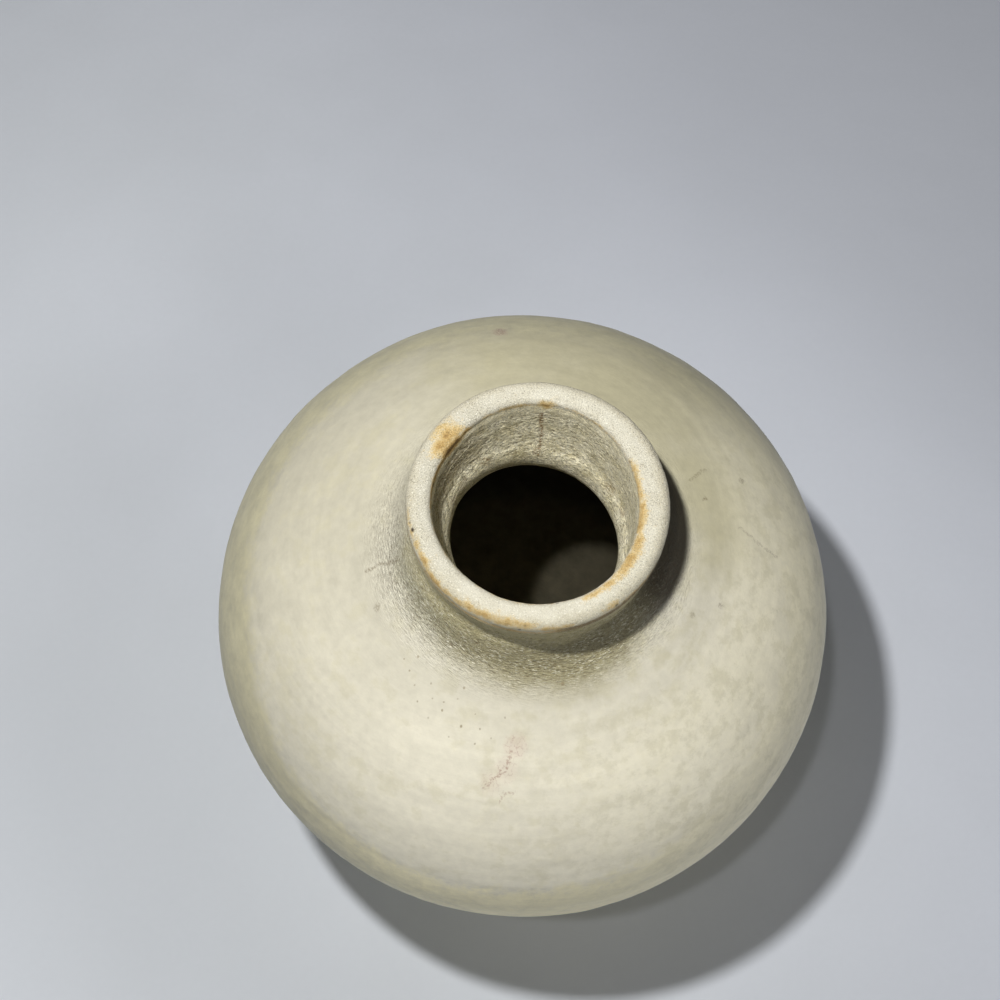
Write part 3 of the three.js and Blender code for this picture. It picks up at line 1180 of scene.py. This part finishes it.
MATERIALS = {
    "body_glaze": glaze("body_glaze"),
    "neck_glaze": glaze("neck_glaze"),
    "lip_clay": lip_clay(),
    "foot_clay": foot_clay(),
}


# The vase
face_start = hole_radius + foot_chamfer
face_end = face_radius - foot_chamfer
foot_line = chain(
    np.array([(recess_radius, foot_plane), (hole_radius, foot_chamfer)]),
    bezier((hole_radius, foot_chamfer), (hole_radius + foot_edge_fullness, 0), (face_start, 0)),
    np.array([(face_start, 0), (face_end, 0)]),
    bezier((face_end, 0), (face_radius - foot_edge_fullness, 0), (face_radius, foot_chamfer)),
    np.array([(face_radius, foot_chamfer), (foot_radius, foot_plane)]),
)
base_line = np.array([(axis_gap, foot_plane), (recess_radius - base_gap, foot_plane)])

turned("foot_ring", [(evenly(foot_line, FOOT_ROWS), "foot")], "foot_clay")
turned(
    "lower_body",
    [
        (evenly(base_line, FOOT_ROWS), "base"),
        (evenly(belly_line, BELLY_ROWS), "outside"),
        (evenly(bowl_line[bowl_line[:, 0] > axis_gap], BOWL_ROWS), "inside"),
    ],
    "body_glaze",
    looped=False,
)
shoulder_outside = chain(evenly(dome_line, DOME_ROWS), evenly(root_line, ROOT_ROWS))
shoulder_inside = chain(
    evenly(lower_bore_line, BORE_ROWS),
    evenly(under_throat_line, THROAT_ROWS),
    evenly(ceiling_line, BOWL_ROWS),
)
turned("shoulder", [(shoulder_outside, "outside"), (shoulder_inside, "inside")], "body_glaze")
turned(
    "neck",
    [(evenly(collar_line, NECK_ROWS), "outside"), (evenly(upper_bore_line, BORE_ROWS), "inside")],
    "neck_glaze",
)
turned("lip", [(evenly(lip_line, LIP_ROWS), "lip")], "lip_clay")


# Floor
FLOOR_HALF = 2.0
FLOOR_SHADE = paint(212, 216, 221)
FLOOR_LIGHT = paint(234, 238, 247)
FLOOR_ROUGHNESS = 0.75

# Stretches of the floor with painted light and shade of their own: radii and shares between which
# it starts, its direction in degrees, and its tone
FLOOR_TONES = [
    ((70.0, 120.0), (-0.6, 0.4), 200, 1.22),
    ((55.0, 120.0), (0.3, 0.9), 75, 0.86),
    ((55.0, 90.0), (0.5, 1.0), -115, 1.09),
]


def floor_material():
    """Pale paper with painted light and shade: a gradient across it, and some of its corners
    a little brighter and one a little duller.
    """
    r = Recipe("floor_paper")
    clouds = r.noise(70.0, detail=4, rough=0.5)
    weave = r.noise(1.2, detail=2, rough=0.5)
    # Painted light: a gradient from the duller to the lighter tone across the floor
    across = r.plus(r.times(r.x, 0.005), r.times(r.y, 0.004), clouds)
    r.colour = r.mix(r.rise(across, 0.0, 1.2), FLOOR_SHADE, FLOOR_LIGHT)
    r.dim(weave, 0.985, 1.015)
    for radii, shares, direction, tone in FLOOR_TONES:
        there = r.times(r.rise(r.radius, *radii), r.rise(r.toward(direction), *shares))
        r.dim(there, 1.0, tone)
    return r.finish(FLOOR_ROUGHNESS, r.bump(clouds, 1.2))


floor_mesh = bpy.data.meshes.new("floor")
turns = ((-1, -1), (1, -1), (1, 1), (-1, 1))
corners = [(x * FLOOR_HALF, y * FLOOR_HALF, 0) for x, y in turns]
floor_mesh.from_pydata(corners, [], [(0, 1, 2, 3)])
floor = added("floor", floor_mesh)
floor.data.materials.append(floor_material())


# Lamps: name, kind, place, watts, and the setting that holds the size
LAMPS = [
    ("key", "POINT", (-0.05, -0.0085, 0.272), 1.79, "shadow_soft_size", 0.0055),
    ("second", "POINT", (-0.092, -0.094, 0.6), 1.05, "shadow_soft_size", 0.009),
    ("fill", "AREA", (0.48, -0.34, 0.11), 0.68, "size", 0.2),
]
FILL_AIM = (0.0, 0.0, 0.05)

for name, kind, place, watts, setting, size in LAMPS:
    light = bpy.data.lights.new(name, kind)
    light.energy = watts
    setattr(light, setting, size)
    lamp = added(name, light)
    lamp.location = place
    lamp.visible_camera = False
    if kind == "AREA":
        light.shape = "DISK"
        aim = Vector(FILL_AIM) - Vector(place)
        lamp.rotation_euler = aim.to_track_quat("-Z", "Y").to_euler()


# Surroundings: how brightly the world lights the scene, and how bright it is to look at
AROUND = (0.92, 0.95, 1.0, 1.0)
AROUND_LEVEL = 0.03
BACKDROP_LEVEL = 0.4

world = bpy.data.worlds.new("surroundings")
bpy.context.scene.world = world
sky = Nodes(world)
rays = sky.node("LightPath").outputs
seen = sky.highest(rays["Is Camera Ray"], rays["Is Glossy Ray"], rays["Is Transmission Ray"])
level = sky.node("MapRange", seen, 0.0, 1.0, AROUND_LEVEL, BACKDROP_LEVEL).outputs[0]
background = sky.node("Background", AROUND, level)
sky.node("OutputWorld", background.outputs[0])

# Camera
CAMERA_PLACE = (0.0, -0.058543, 0.24907)
CAMERA_YAW = -0.071
CAMERA_PITCH = 1.218
CAMERA_ROLL = 0.071
LENS = 54.0
SENSOR_WIDTH = 36.0
NEAREST_SEEN = 0.005

forward = Vector((
    math.cos(CAMERA_PITCH) * math.sin(CAMERA_YAW),
    math.cos(CAMERA_PITCH) * math.cos(CAMERA_YAW),
    -math.sin(CAMERA_PITCH),
))
level_right = Vector((math.cos(CAMERA_YAW), -math.sin(CAMERA_YAW), 0.0))
level_up = level_right.cross(forward)
right = level_right * math.cos(CAMERA_ROLL) + level_up * math.sin(CAMERA_ROLL)
up = level_up * math.cos(CAMERA_ROLL) - level_right * math.sin(CAMERA_ROLL)
camera_data = bpy.data.cameras.new("camera")
camera_data.lens = LENS
camera_data.sensor_width = SENSOR_WIDTH
camera_data.clip_start = NEAREST_SEEN
camera = added("camera", camera_data)
turn = Matrix((right, up, -forward)).transposed()
camera.matrix_world = Matrix.Translation(CAMERA_PLACE) @ turn.to_4x4()
bpy.context.scene.camera = camera
bpy.context.scene.view_settings.view_transform = "Standard"
